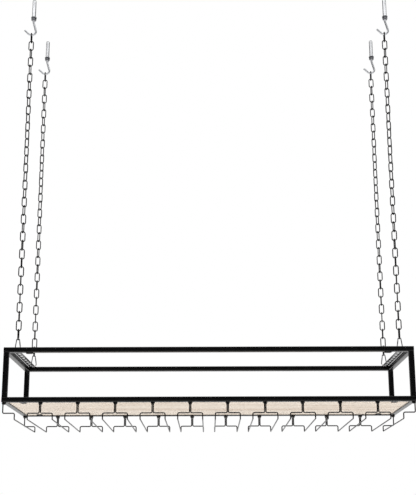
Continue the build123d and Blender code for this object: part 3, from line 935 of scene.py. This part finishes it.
class RACK_OT_screws(bpy.types.Operator):
    """Makes the hangers' black screws and the shelf board's zinc ones"""

    bl_idname = "rack.screws"
    bl_label = "Screws"

    def execute(self, context):
        sizes, colours = context.scene.rack_sizes, context.scene.rack_colours
        height = sizes.screw_head_height
        screw = screw_skin(sizes.screw_head, height, sizes.screw_shank, sizes.screw_reach)
        x = [middle(node)[0] for node in hanger_nodes()] + [end_screw_x(side, sizes) for side in SIDES]
        y = hanger_front(sizes) - sizes.eye_setback
        z = span("hanger_screws")[0][2] + height
        places = np.array([[each, way * y, z] for each in x for way in (-1, 1)])
        skin = repeated(screw, places, np.arange(len(places)) * GOLDEN_TURN)
        black = finish(black_screws, colours)
        new_piece("hanger_screw_heads", [skin], black, "rack", ["hanger_screws"])

        head, height = sizes.shelf_screw_head, sizes.shelf_screw_head_height
        screw = screw_skin(head, height, sizes.shelf_screw_shank, sizes.shelf_screw_reach)
        places = tab_places(sizes)
        places[:, 2] = span("shelf_screws")[0][2] + height
        skin = repeated(screw, places, SHELF_SCREW_TURNS)
        zinc = finish(screw_zinc, colours)
        new_piece("shelf_screw_heads", [skin], zinc, "rack", ["shelf_screws"])
        return {"FINISHED"}


# Glass hangers

def hanger_nodes():
    """The nodes of the ten hangers between the ends."""
    return sorted(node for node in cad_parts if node.startswith("glass_hanger_"))


def hanger_front(sizes):
    """The distance from the middle of the rack to the hangers' stems."""
    return span("glass_hanger_01")[1][1] - sizes.hanger_wire / 2


def end_screw_x(side, sizes):
    """The x of an end hanger's screws: the eye stands that far in from the outer end of its box."""
    low, high = span(f"end_hanger_{side}")
    inset = sizes.eye_radius + sizes.hanger_wire / 2
    return low[0] + inset if side == "left" else high[0] - inset


def hanger_corners(node, stem_side, rail_x, sizes):
    """Corners and radii of one hanger wire's front half about the screw's x, from the eye to the rail."""
    low, high = span(node)
    front, top = -hanger_front(sizes), high[2] - sizes.hanger_wire / 2
    stem = stem_side * (sizes.hanger_wire + sizes.stem_gap) / 2
    eye = stem_side * sizes.eye_radius
    back = front + sizes.eye_setback + sizes.eye_radius
    plateau = high[2] - sizes.hanger_drop
    rail = low[2] + sizes.hanger_wire / 2
    corners = [
        (eye, back, top),
        (eye, front, top),
        (stem, front, top - sizes.eye_flare),
        (stem, front, plateau),
        (rail_x, front, plateau),
        (rail_x, front, rail),
    ]
    radii = [
        sizes.eye_radius,
        sizes.eye_bend,
        sizes.flare_bend,
        sizes.stem_bend,
        sizes.plateau_bend,
        sizes.rail_bend,
    ]
    return np.array(corners), np.array(radii)


def there_and_back(corners, radii):
    """A front half's corners, then the same ones mirrored to the rear, in reverse."""
    return np.vstack([corners, corners[::-1] * [1, -1, 1]]), np.concatenate([radii, radii[::-1]])


class RACK_OT_glass_hangers(bpy.types.Operator):
    """Bends the ten glass hangers and the two end hangers from wire"""

    bl_idname = "rack.glass_hangers"
    bl_label = "Glass Hangers"

    def execute(self, context):
        sizes = context.scene.rack_sizes
        coat = finish(black_wire, context.scene.rack_colours)
        for node in hanger_nodes():
            low, high = span(node)
            half = (high[0] - low[0] - sizes.hanger_wire) / 2
            right = there_and_back(*hanger_corners(node, 1, half, sizes))
            left = there_and_back(*hanger_corners(node, -1, -half, sizes))
            corners = np.vstack([right[0], left[0][::-1]]) + [middle(node)[0], 0, 0]
            path = bent_path(corners, np.concatenate([right[1], left[1][::-1]]), closed=True)
            skin = wire(path, sizes.hanger_wire, closed=True)
            name = node.replace("glass_hanger", "hanger_wire")
            new_piece(name, [skin], coat, "rack", [node])
        for side, sign in SIDES.items():
            node = f"end_hanger_{side}"
            low, high = span(node)
            screw = end_screw_x(side, sizes)
            rail = (high[0] if side == "left" else low[0]) + sign * sizes.hanger_wire / 2 - screw
            corners, radii = hanger_corners(node, sign, rail, sizes)
            free = np.array([corners[1], corners[0]]) * [-1, 1, 1]
            corners, radii = np.vstack([free, corners]), np.concatenate([[0, sizes.eye_radius], radii])
            corners, radii = there_and_back(corners, radii)
            skin = wire(bent_path(corners + [screw, 0, 0], radii), sizes.hanger_wire)
            new_piece(f"end_wire_{side}", [skin], coat, "rack", [node])
        return {"FINISHED"}


# Chains

def link_skin(sizes):
    """A straight link upright in the XZ plane: round wire along a rectangle with rounded corners."""
    x = sizes.link_width / 2 - sizes.link_wire / 2
    z = sizes.link_inner / 2 + sizes.link_wire / 2
    corners = [(x, 0, z), (-x, 0, z), (-x, 0, -z), (x, 0, -z)]
    path = bent_path(corners, sizes.link_corner, 5, closed=True)
    return wire(path, sizes.link_wire, 8, closed=True, across=(0, 1, 0))


class RACK_OT_chains(bpy.types.Operator):
    """Makes the top links and the four chains, each link turned a little over a quarter from the last"""

    bl_idname = "rack.chains"
    bl_label = "Chains"

    def execute(self, context):
        sizes = context.scene.rack_sizes
        black = finish(black_chain, context.scene.rack_colours)
        link = link_skin(sizes)
        for name, side, _ in CORNERS:
            top, chain_low = middle(f"top_link_{name}"), span(f"chain_{name}")[0]
            last = chain_low[2] + half_height(f"top_link_{name}")
            pitch = (top[2] - last) / sizes.link_count
            number = np.arange(sizes.link_count + 1)
            turns = pi / 2 + side * number * (pi / 2 + pi / 2 / sizes.link_count)
            places = np.column_stack([0 * number + top[0], 0 * number + top[1], top[2] - number * pitch])
            first, others = repeated(link, places[:1], turns[:1]), repeated(link, places[1:], turns[1:])
            for piece, skin, node in (
                (f"first_link_{name}", first, f"top_link_{name}"),
                (f"links_{name}", others, f"chain_{name}"),
            ):
                new_piece(piece, [skin], black, node, [node])
        return {"FINISHED"}


# Snap hooks. Their bends have this share of the largest radius that fits between the two sides. By the two
# lengths, a gate's core and web reach into its cheeks, and its web into its core.

NEARLY_ROUND = 0.995
CHEEK_REACH = 0.0001
CORE_REACH = 0.0005


class SnapHookPlane:
    """The upright plane of a snap hook: x towards the room, y up from the middle of the bow's wire.

    The gate's line runs from its foot, at the bow's full width, to the eye's full width. Lengths along
    it are counted from the foot, and its own y points into the hook.
    """

    def __init__(self, name, side, sizes):
        top = middle(f"top_link_{name}")
        bow = span(f"snap_hook_{name}")[0][2] + sizes.snap_wire / 2
        self.origin = np.array([top[0], top[1], bow])
        self.x_dir, self.y_dir, self.z_dir = np.array([[-side, 0, 0], [0, 0, 1], [0, side, 0]], float)
        self.top = sizes.snap_inner + sizes.snap_wire
        foot = np.array([sizes.bow_half, sizes.bow_rise])
        run = np.array([sizes.eye_half, self.top - sizes.eye_fall]) - foot
        self.slope = run[0] / run[1]
        self.foot, self.run = foot, run / np.linalg.norm(run)
        self.gate_origin = self.at(*foot)
        self.gate_x = self.run[0] * self.x_dir + self.run[1] * self.y_dir
        self.gate_y = np.cross(self.z_dir, self.gate_x)

    def at(self, x, y):
        """A point of the plane."""
        return self.origin + x * self.x_dir + y * self.y_dir

    def side_at(self, y):
        """The gate side's x at a height."""
        return self.foot[0] + self.slope * (y - self.foot[1])

    def on_gate(self, skin, along, across=0.0, out=0.0):
        """A skin laid along the gate's line, its middle at that length, offset and distance out."""
        origin = self.gate_origin + along * self.gate_x + across * self.gate_y + out * self.z_dir
        return placed(skin, origin, self.gate_x, self.gate_y, self.z_dir)


def gate_block(plane, along, across, thickness, corner, out=0.0, edge=0.00012):
    """A rounded block on the gate's line, between two lengths along it and two distances across it."""
    (start, end), (low, high) = along, across
    skin = block((end - start, high - low, thickness), corner, edge, 3)
    return plane.on_gate(skin, (start + end) / 2, (low + high) / 2, out)


class RACK_OT_snap_hooks(bpy.types.Operator):
    """Bends the snap hooks from wire, with the catch and the tongue on the wire's ends"""

    bl_idname = "rack.snap_hooks"
    bl_label = "Snap Hooks"

    def execute(self, context):
        sizes = context.scene.rack_sizes
        steel = finish(polished_steel, context.scene.rack_colours)
        for name, side, _ in CORNERS:
            plane = SnapHookPlane(name, side, sizes)
            bow, eye = plane.side_at(0), plane.side_at(plane.top)
            turn = np.arctan(plane.slope)
            bow_radius = NEARLY_ROUND * bow * tan(pi / 4 + turn / 2)
            eye_radius = NEARLY_ROUND * eye * tan(pi / 4 - turn / 2)
            start, end = plane.foot + np.outer([sizes.gate_start, sizes.gate_end], plane.run)
            outline = [start, (bow, 0), (-bow, 0), (-eye, plane.top), (eye, plane.top), end]
            radii = [0, bow_radius, bow_radius, eye_radius, eye_radius, 0]
            path = bent_path([plane.at(*point) for point in outline], radii, 13)
            half = sizes.gate_width / 2
            tongue = (sizes.gate_end - sizes.tongue_length, sizes.gate_end + ROOT)
            catch = (sizes.gate_start - ROOT, sizes.gate_start + sizes.catch_length)
            behind_web = (-half, half - sizes.gate_web - SLIP_GAP)
            skins = [
                wire(path, sizes.snap_wire, 12, across=(0, 1, 0), ease=0.1),
                gate_block(plane, tongue, (-half, half), sizes.tongue, sizes.tongue_corner),
                gate_block(plane, catch, behind_web, sizes.tongue, sizes.catch_corner),
            ]
            node = f"snap_hook_{name}"
            new_piece(f"snap_wire_{name}", skins, steel, node, [node])
        return {"FINISHED"}


class RACK_OT_gates(bpy.types.Operator):
    """Makes the snap hooks' gates, each pinned over its hook's tongue and closing on the catch"""

    bl_idname = "rack.gates"
    bl_label = "Gates"

    def execute(self, context):
        sizes = context.scene.rack_sizes
        steel = finish(polished_steel, context.scene.rack_colours)
        half = sizes.gate_width / 2
        pin = sizes.gate_end - sizes.pin_setback
        swing = np.hypot(sizes.tongue_length - sizes.pin_setback, half)
        start, end = sizes.gate_start + SEAT_GAP, pin + half
        core_start, core_end = sizes.gate_start + sizes.catch_length + SEAT_GAP, pin - swing - SLIP_GAP
        slot = sizes.tongue + 2 * SLIP_GAP
        cheek = (sizes.gate_thickness - slot) / 2
        out, filling = (slot + cheek) / 2, slot + 2 * CHEEK_REACH
        core, web = (core_start, core_end), (start, core_start + CORE_REACH)
        for name, side, _ in CORNERS:
            plane = SnapHookPlane(name, side, sizes)
            skins = [
                gate_block(plane, (start, end), (-half, half), cheek, sizes.cheek_corner, way * out)
                for way in (-1, 1)
            ]
            skins.append(gate_block(plane, core, (-half, half), filling, sizes.core_corner))
            skins.append(gate_block(plane, web, (half - sizes.gate_web, half), filling, sizes.web_corner))
            node = f"gate_{name}"
            new_piece(f"gate_lever_{name}", skins, steel, node, [node])
            radii = sizes.pin_radius * np.array([0.6, 0.9, 1, 1, 0.9, 0.6])
            levels = sizes.gate_thickness / 2 * np.array([-1.04, -1.02, -0.96, 0.96, 1.02, 1.04])
            rivet = plane.on_gate(turned(radii, levels, round_angles(16)), pin)
            new_piece(f"gate_rivet_{name}", [rivet], steel, node, [f"gate_pin_{name}"])
        return {"FINISHED"}


# Ceiling hooks and anchors. The angles of a hook's bend are those of its two ends from +X, in degrees,
# the bores are multiples of the bolt's radius, and a slit comes to its depth over the height of the step.

BEND_ENTRY = 15.0
BEND_EXIT = -135.0
NUT_BORE = 1.01
WASHER_BORE = 1.03
SLIT_STEP = 0.00005


def anchor_places(sizes):
    """The four anchors' axes at the ceiling."""
    x, y = span("anchor_sleeves")[1][:2] - sizes.sleeve_radius
    return {name: np.array([side * x, end * y, 0.0]) for name, side, end in CORNERS}


def arc_corners(centre, radius, touching):
    """The corners between lines that touch an arc at the given angles, in degrees, in the XZ plane."""
    angles = np.radians(touching)
    half, between = np.diff(angles) / 2, (angles[:-1] + angles[1:]) / 2
    x, z = radius / np.cos(half) * np.array([np.cos(between), np.sin(between)])
    return np.column_stack([centre[0] + x, 0 * between, centre[1] + z])


def hook_skins(node, sizes):
    """A ceiling hook about its anchor's axis: the bent rod, the shoulder and the bolt.

    The rod comes down the axis, leaves it on the line that touches the bend at its entry, and ends in a
    straight tip from the bend's exit. The shoulder's radius is 0.98 of the rod's plus its swell times
    cos(a) ** 0.6, at a height that goes with sin(a), and the bolt's tip is drawn in to 0.86 of its radius.
    """
    low, high = span(node)
    nut_low = span("anchor_nuts")[0][2]
    collar = nut_low - sizes.shoulder_height
    bend, rod_radius = sizes.hook_bend, sizes.hook_wire / 2
    centre = (-sizes.hook_reach, low[2] + rod_radius + bend)

    def on_bend(angle):
        """The point of the bend at an angle."""
        return np.array([centre[0] + bend * cos(angle), 0, centre[1] + bend * sin(angle)])

    entry, leave = radians(BEND_ENTRY), radians(BEND_EXIT)
    first = on_bend(entry)
    neck = np.array([0, 0, first[2] + first[0] / tan(entry)])
    tip = on_bend(leave) + sizes.hook_tip * np.array([sin(leave), 0, -cos(leave)])
    arc = arc_corners(centre, bend, np.linspace(BEND_ENTRY, BEND_EXIT, 6))
    corners = np.vstack([[0, 0, collar + ROOT], neck, arc, tip])
    radii = [0, sizes.neck_bend] + [bend] * len(arc) + [0]
    rod = wire(bent_path(corners, radii, 6), sizes.hook_wire, 16, across=(0, 1, 0), ease=0.12)

    foot, head = -0.42 * pi, 0.36 * pi
    a = np.linspace(foot, head, 9)
    half = sizes.shoulder_height / 2
    swollen = 0.98 * rod_radius + (sizes.shoulder_radius - rod_radius) * np.cos(a) ** 0.6
    shoulder = turned(swollen, collar + half - half * np.sin(a) / sin(foot), round_angles(32))

    radius, top = sizes.bolt_radius, high[2]
    levels = [nut_low - ROOT, top - sizes.bolt_chamfer, top]
    bolt = turned([radius, radius, 0.86 * radius], levels, round_angles(32))
    return [rod, shoulder, bolt]


class RACK_OT_ceiling_hooks(bpy.types.Operator):
    """Bends the four open ceiling hooks, each with its shoulder and bolt"""

    bl_idname = "rack.ceiling_hooks"
    bl_label = "Ceiling Hooks"

    def execute(self, context):
        sizes = context.scene.rack_sizes
        zinc = finish(hook_zinc, context.scene.rack_colours)
        for name, place in anchor_places(sizes).items():
            node = f"ceiling_hook_{name}"
            skins = [(points + place, faces) for points, faces in hook_skins(node, sizes)]
            new_piece(f"open_hook_{name}", skins, zinc, "ceiling", [node])
        return {"FINISHED"}


def nut_skin(sizes, low, high):
    """A hexagon nut with a bore.

    Its radius at the angle a is the smaller of the hexagon's, half / cos(a mod 60 - 30), and the chamfer's,
    0.94 half + 1.73 times the depth from the nearer face.
    """
    half, bore = sizes.nut_flats / 2, sizes.bolt_radius * NUT_BORE
    angles = round_angles(72)
    hexagon = half / np.cos(np.mod(angles, pi / 3) - pi / 6)
    depth = np.linspace(0, sizes.nut_chamfer, 5)
    levels = np.concatenate([low + depth, high - depth[::-1]])
    chamfer = 0.94 * half + 1.73 * np.concatenate([depth, depth[::-1]])[:, None]
    outer = np.minimum(hexagon, chamfer)
    inner = np.full((2, len(angles)), bore)
    return turned(np.vstack([outer, inner]), np.concatenate([levels, [high, low]]), angles, closed=True)


def washer_skin(sizes, low, high):
    """A flat washer with eased rims."""
    ease, outer, bore = sizes.rim_ease, sizes.washer_radius, sizes.bolt_radius * WASHER_BORE
    radii = [outer - ease, outer - 0.3 * ease, outer, outer, outer - 0.3 * ease, outer - ease, bore, bore]
    levels = [low, low + 0.3 * ease, low + ease, high - ease, high - 0.3 * ease, high, high, low]
    return turned(radii, levels, round_angles(48), closed=True)


def sleeve_skin(sizes, low, high):
    """A slit anchor sleeve.

    Its wall goes from the outer radius in to the bore, which opens to the mouth over the cone's grip.
    Between the slits' angles, above their foot, the outer radius is drawn in by 0.8 of the wall.
    """
    half_slit = sizes.slit_width / 2 / sizes.sleeve_radius
    spread = np.linspace(half_slit, pi / 2 - half_slit, 8)
    quarter = np.concatenate([[-0.75 * half_slit, 0.75 * half_slit], spread])
    angles = np.concatenate([quarter + k * pi / 2 for k in range(4)])
    in_slit = np.tile(np.concatenate([[1, 1], np.zeros(len(spread))]), 4)
    outer, bore, mouth = sizes.sleeve_radius, sizes.sleeve_bore, sizes.sleeve_mouth
    foot, grip = high - sizes.slit_length, high - sizes.cone_grip
    chamfer, lip = sizes.sleeve_chamfer, sizes.sleeve_lip
    levels = np.array([low, low + chamfer, foot, foot + SLIT_STEP, grip, high - 2 * lip, high])
    edge = np.array([chamfer, 0, 0, 0, 0, 0, lip])
    inside = np.interp(levels, [low, grip, high], [bore, bore, mouth])
    cut = 0.8 * (outer - inside) * (levels > foot)
    shell = (outer - edge)[:, None] - cut[:, None] * in_slit
    hollow = np.tile([[mouth], [bore], [bore]], len(angles))
    levels = np.concatenate([levels, [high, grip, low]])
    return turned(np.vstack([shell, hollow]), levels, angles, closed=True)


def cone_skin(sizes, low, high):
    """The cone that spreads a sleeve: narrow inside it, and a plain rim above its mouth."""
    rim, bore = sizes.sleeve_mouth - SLIP_GAP, sizes.bolt_radius * NUT_BORE
    radii = [sizes.sleeve_bore - SLIP_GAP, rim, rim, rim - sizes.rim_ease, bore, bore]
    levels = [low, high - sizes.cone_rim, high - sizes.rim_ease, high, high, low]
    return turned(radii, levels, round_angles(40), closed=True)


class RACK_OT_anchors(bpy.types.Operator):
    """Makes the washers, nuts, sleeves and cones of the four anchors"""

    bl_idname = "rack.anchors"
    bl_label = "Anchors"

    def execute(self, context):
        sizes = context.scene.rack_sizes
        places = list(anchor_places(sizes).values())
        for kind, make_skin, zinc in (
            ("washers", washer_skin, nut_zinc),
            ("nuts", nut_skin, nut_zinc),
            ("sleeves", sleeve_skin, sleeve_zinc),
            ("cones", cone_skin, nut_zinc),
        ):
            low, high = span(f"anchor_{kind}")
            skin = repeated(make_skin(sizes, low[2], high[2]), places)
            coat = finish(zinc, context.scene.rack_colours)
            new_piece(f"ceiling_{kind}", [skin], coat, "ceiling", [f"anchor_{kind}"])
        return {"FINISHED"}


# Stage

def make_floor(stage):
    """Makes the plain pale floor, a flat square well below the rack."""
    half, level = stage.floor_size / 2, SOLIDS_BOX[0][2] - stage.floor_drop
    corners = [(i * half, j * half, level) for i, j in ((-1, -1), (1, -1), (1, 1), (-1, 1))]
    mesh = bpy.data.meshes.new("floor")
    mesh.from_pydata(corners, [], [(0, 1, 2, 3)])
    material, tree, shader = blank_finish("floor_paint", roughness=0.9)
    pale = (stage.floor_shade,) * 3
    clouds = noise(tree, 3, 2)
    feed(tree, shader, base_color=shades(tree, clouds, (0.3, pale), (0.7, tone(pale, 0.99))))
    mesh.materials.append(material)
    floor = bpy.data.objects.new("floor", mesh)
    bpy.context.scene.collection.objects.link(floor)


def make_sky(stage):
    """Soft white light from above, over dimmer walls that are darkest on the camera's side.

    As a direction rises, the light goes from the front shade to white on the camera's side, and from the
    rear shade to white elsewhere. One side passes into the other as the direction turns towards the
    camera, and below the horizon the light is the ground's. The camera itself sees plain white.
    """
    world = bpy.data.worlds.new("studio")
    world.use_nodes = True
    tree = world.node_tree
    tree.nodes.clear()
    direction = add_node(tree, "ShaderNodeTexCoord").outputs["Generated"]
    _, y, z = add_node(tree, "ShaderNodeSeparateXYZ", {"Vector": direction}).outputs
    front = ranged(tree, eased(tree, z, *FRONT_RISE), stage.sky * stage.front_shade, stage.sky)
    rear = ranged(tree, eased(tree, z, *REAR_RISE), stage.sky * stage.rear_shade, stage.sky)
    sides = {"Factor": eased(tree, y, *FRONT_TURN), "A": rear, "B": front}
    walls = add_node(tree, "ShaderNodeMix", sides).outputs["Result"]
    levels = {"Factor": eased(tree, z, *HORIZON), "A": stage.ground, "B": walls}
    strength = add_node(tree, "ShaderNodeMix", levels).outputs["Result"]
    lit = add_node(tree, "ShaderNodeBackground", {"Strength": strength}).outputs[0]
    seen = add_node(tree, "ShaderNodeBackground", {"Color": (1, 1, 1, 1)}).outputs[0]
    camera_ray = add_node(tree, "ShaderNodeLightPath").outputs["Is Camera Ray"]
    mixed = add_node(tree, "ShaderNodeMixShader", {0: camera_ray, 1: lit, 2: seen}).outputs[0]
    add_node(tree, "ShaderNodeOutputWorld", {"Surface": mixed})
    bpy.context.scene.world = world


def make_lamp(stage):
    """A broad square lamp overhead, facing down, and left out of reflections, which show the sky alone."""
    light = bpy.data.lights.new("lamp", "AREA")
    light.shape, light.size, light.energy = "SQUARE", stage.lamp_size, stage.lamp_power
    lamp = bpy.data.objects.new("lamp", light)
    lamp.matrix_world = Matrix.Translation((0.0, 0.0, stage.lamp_height))
    lamp.visible_glossy = False
    bpy.context.scene.collection.objects.link(lamp)


def make_camera():
    """The photograph's camera: a little below the rack, looking up at it."""
    camera = bpy.data.cameras.new("camera")
    camera.sensor_fit, camera.sensor_width, camera.lens = "AUTO", SENSOR_WIDTH, FOCAL_LENGTH
    camera.shift_x, camera.shift_y = SHIFT_RIGHT / PICTURE_HEIGHT, SHIFT_UP / PICTURE_HEIGHT
    camera.clip_start, camera.clip_end = 0.1, 60.0
    stand = bpy.data.objects.new("camera", camera)
    pitch, roll = radians(90 + CAMERA_PITCH), radians(CAMERA_ROLL)
    turn = Matrix.Rotation(pitch, 4, "X") @ Matrix.Rotation(roll, 4, "Z")
    stand.matrix_world = Matrix.Translation(CAMERA_PLACE) @ turn
    bpy.context.scene.collection.objects.link(stand)
    bpy.context.scene.camera = stand


class RACK_OT_stage(bpy.types.Operator):
    """Makes the floor, the soft light and the camera"""

    bl_idname = "rack.stage"
    bl_label = "Stage"

    def execute(self, context):
        stage = context.scene.rack_stage
        make_floor(stage)
        make_sky(stage)
        make_lamp(stage)
        make_camera()
        context.scene.view_settings.view_transform = "Standard"
        return {"FINISHED"}


STEPS = (
    RACK_OT_tube_frame,
    RACK_OT_slotted_strips,
    RACK_OT_rail_caps,
    RACK_OT_shelf_board,
    RACK_OT_shelf_tabs,
    RACK_OT_glass_hangers,
    RACK_OT_screws,
    RACK_OT_ceiling_hooks,
    RACK_OT_anchors,
    RACK_OT_chains,
    RACK_OT_snap_hooks,
    RACK_OT_gates,
    RACK_OT_stage,
)


class RACK_PT_panel(bpy.types.Panel):
    """Lists the steps that build the rack, with its sizes and colours"""

    bl_idname = "RACK_PT_panel"
    bl_label = "Hanging Wine Rack"
    bl_space_type = "VIEW_3D"
    bl_region_type = "UI"
    bl_category = "Wine Rack"

    def draw(self, context):
        column = self.layout.column(align=True)
        for step in STEPS:
            column.operator(step.bl_idname)
        for group in (context.scene.rack_colours, context.scene.rack_sizes, context.scene.rack_stage):
            column.separator()
            for name in group.__annotations__:
                column.prop(group, name)


GROUPS = {"rack_sizes": RackSizes, "rack_colours": RackColours, "rack_stage": RackStage}


def register():
    """Registers the classes, and gives every scene the rack's sizes, colours and stage."""
    for made in (*GROUPS.values(), *STEPS, RACK_PT_panel):
        bpy.utils.register_class(made)
    for name, group in GROUPS.items():
        setattr(bpy.types.Scene, name, PointerProperty(type=group))


def unregister():
    """Takes back what register has done."""
    for name in GROUPS:
        delattr(bpy.types.Scene, name)
    for made in reversed((*GROUPS.values(), *STEPS, RACK_PT_panel)):
        bpy.utils.unregister_class(made)


def main():
    """Builds every piece and the stage."""
    register()
    for step in STEPS:
        group, name = step.bl_idname.split(".")
        getattr(getattr(bpy.ops, group), name)()


if __name__ == "__main__":
    main()
